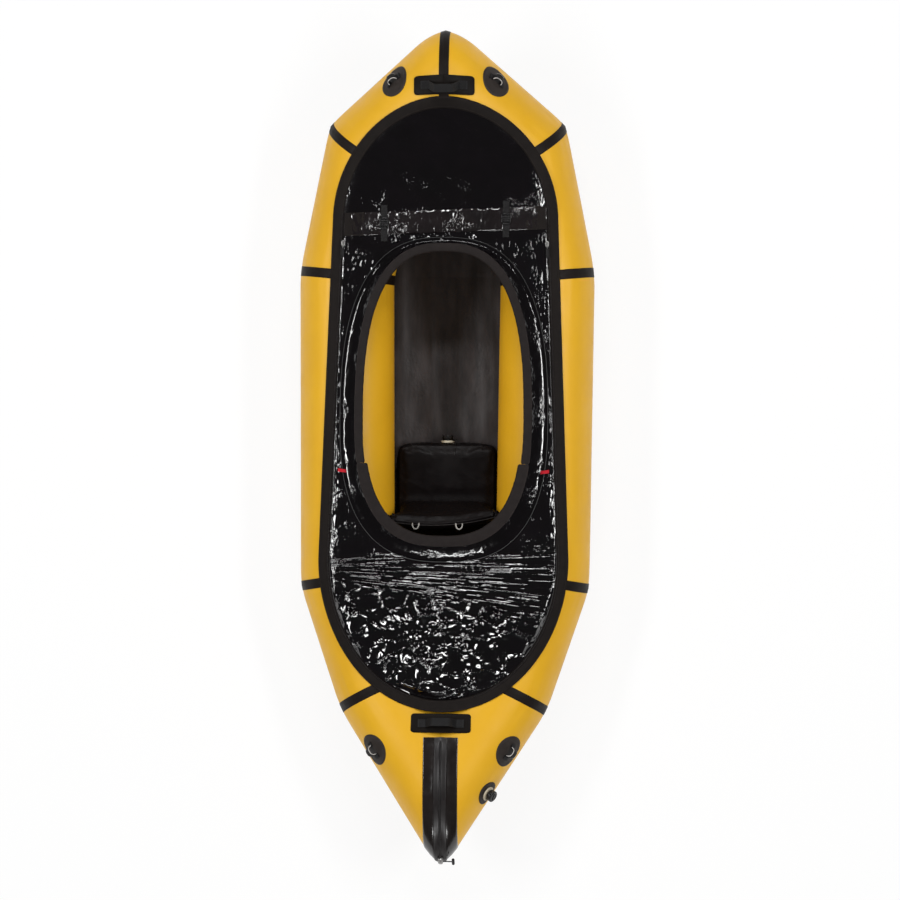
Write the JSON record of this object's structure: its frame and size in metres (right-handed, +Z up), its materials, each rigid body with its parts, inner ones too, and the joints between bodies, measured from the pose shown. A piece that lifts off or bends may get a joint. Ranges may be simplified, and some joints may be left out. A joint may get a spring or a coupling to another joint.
{
  "type": "packraft",
  "caption": "Inflatable one-person packraft with turned-up pointed ends, a zip-on spray deck with an oval coaming, a seat with a backrest, and a cargo zip over the stern.",
  "frame": {"origin": "centre of the overall box, at the level the floor rests on", "axes": "+Y to the bow, +X to starboard, +Z up"},
  "size_m": [0.909, 2.5316, 0.4954],
  "materials": {
    "hull_fabric": "satin",
    "seam_tape": "matte",
    "floor_fabric": "satin",
    "deck_fabric": "gloss",
    "strip_fabric": "matte",
    "coaming_fabric": "matte",
    "patch_rubber": "matte",
    "webbing": "matte",
    "black_plastic": "satin",
    "valve_plastic": "satin",
    "seal_rubber": "matte",
    "zip_rubber": "satin",
    "slider_metal": "satin",
    "seat_fabric": "matte",
    "cord": "matte"
  },
  "bodies": {
    "raft": {"hull_bow_port": "hull_fabric", "hull_bow_starboard": "hull_fabric", "hull_bow_quarter_port": "hull_fabric", "hull_bow_quarter_starboard": "hull_fabric", "hull_side_port": "hull_fabric", "hull_side_starboard": "hull_fabric", "hull_stern_quarter_port": "hull_fabric", "hull_stern_quarter_starboard": "hull_fabric", "hull_stern_port": "hull_fabric", "hull_stern_starboard": "hull_fabric", "bow_tape": "seam_tape", "bow_quarter_tape_port": "seam_tape", "bow_quarter_tape_starboard": "seam_tape", "front_side_tape_port": "seam_tape", "front_side_tape_starboard": "seam_tape", "rear_side_tape_port": "seam_tape", "rear_side_tape_starboard": "seam_tape", "stern_quarter_tape_port": "seam_tape", "stern_quarter_tape_starboard": "seam_tape", "floor": "floor_fabric", "fore_deck": "deck_fabric", "main_deck": "deck_fabric", "collar": "deck_fabric", "base_strip": "strip_fabric", "deck_band": "strip_fabric", "cargo_zip_band": "strip_fabric", "coaming_front": "coaming_fabric", "coaming_rear": "coaming_fabric", "grab_patch_bow_port": "patch_rubber", "grab_patch_bow_starboard": "patch_rubber", "grab_patch_stern_port": "patch_rubber", "grab_patch_stern_starboard": "patch_rubber", "handle_patch_bow": "patch_rubber", "handle_patch_stern": "patch_rubber", "main_valve_patch": "patch_rubber", "grab_loop_bow_port": "webbing", "grab_loop_bow_starboard": "webbing", "grab_loop_stern_port": "webbing", "grab_loop_stern_starboard": "webbing", "handle_bow": "webbing", "handle_stern": "webbing", "deck_strap_port": "webbing", "deck_strap_starboard": "webbing", "deck_buckle_port": "black_plastic", "deck_buckle_starboard": "black_plastic", "main_valve_body": "valve_plastic", "seat_valve_body": "valve_plastic", "cargo_zip_chain": "zip_rubber", "seat": "seat_fabric"},
    "cargo_slider": {"cargo_zip_slider": "slider_metal"},
    "cargo_pull": {"cargo_zip_pull": "webbing"},
    "deck_slider_starboard": {"deck_zip_slider_starboard": "slider_metal"},
    "deck_pull_starboard": {"deck_zip_pull_starboard": "webbing"},
    "deck_slider_port": {"deck_zip_slider_port": "slider_metal"},
    "deck_pull_port": {"deck_zip_pull_port": "webbing"},
    "valve_seal": {"main_valve_seal": "seal_rubber"},
    "valve_cap": {"main_valve_cap": "black_plastic"},
    "seat_cap": {"seat_valve_cap": "black_plastic"},
    "backrest": {"backrest": "seat_fabric", "backrest_cord": "cord"}
  },
  "joints": [
    {"name": "cargo_zip_slide", "type": "hinge", "parent": "raft", "child": "cargo_slider", "pos_m": [0, -1.02706, 0.07301], "axis": [-1, 0, 0], "range_deg": [0, 60]},
    {"name": "cargo_pull_swing", "type": "hinge", "parent": "cargo_slider", "child": "cargo_pull", "pos_m": [0, -1.25605, 0.28668], "axis": [0, -0.6822, -0.7311], "range_deg": [0, 150]},
    {"name": "deck_zip_slide_starboard", "type": "slide", "parent": "raft", "child": "deck_slider_starboard", "axis": [0.0373, -0.9992, -0.0124], "range_m": [0, 0.78]},
    {"name": "deck_pull_swing_starboard", "type": "hinge", "parent": "deck_slider_starboard", "child": "deck_pull_starboard", "pos_m": [0.31045, 0.60765, 0.3114], "axis": [-0.9993, -0.0373, 0], "range_deg": [0, 150]},
    {"name": "deck_zip_slide_port", "type": "slide", "parent": "raft", "child": "deck_slider_port", "axis": [-0.0373, -0.9992, -0.0124], "range_m": [0, 0.78]},
    {"name": "deck_pull_swing_port", "type": "hinge", "parent": "deck_slider_port", "child": "deck_pull_port", "pos_m": [-0.31045, 0.60765, 0.3114], "axis": [-0.9993, 0.0373, 0], "range_deg": [0, 150]},
    {"name": "valve_lift", "type": "slide", "parent": "raft", "child": "valve_seal", "axis": [0.783, -0.4132, 0.465], "range_m": [0, 0.0061]},
    {"name": "valve_turn", "type": "hinge", "parent": "valve_seal", "child": "valve_cap", "pos_m": [0.14248, -1.04694, 0.28717], "axis": [0.783, -0.4132, 0.465], "range_deg": [0, 720]},
    {"name": "seat_cap_pull", "type": "slide", "parent": "raft", "child": "seat_cap", "axis": [0, 1, 0], "range_m": [0, 0.009]},
    {"name": "backrest_tilt", "type": "hinge", "parent": "raft", "child": "backrest", "pos_m": [0, -0.182, 0.1108], "axis": [-1, 0, 0], "range_deg": [-8, 30]}
  ],
  "couplings": [
    {"joint": "valve_lift", "follows": "valve_turn", "m_per_rad": 0.000477}
  ]
}
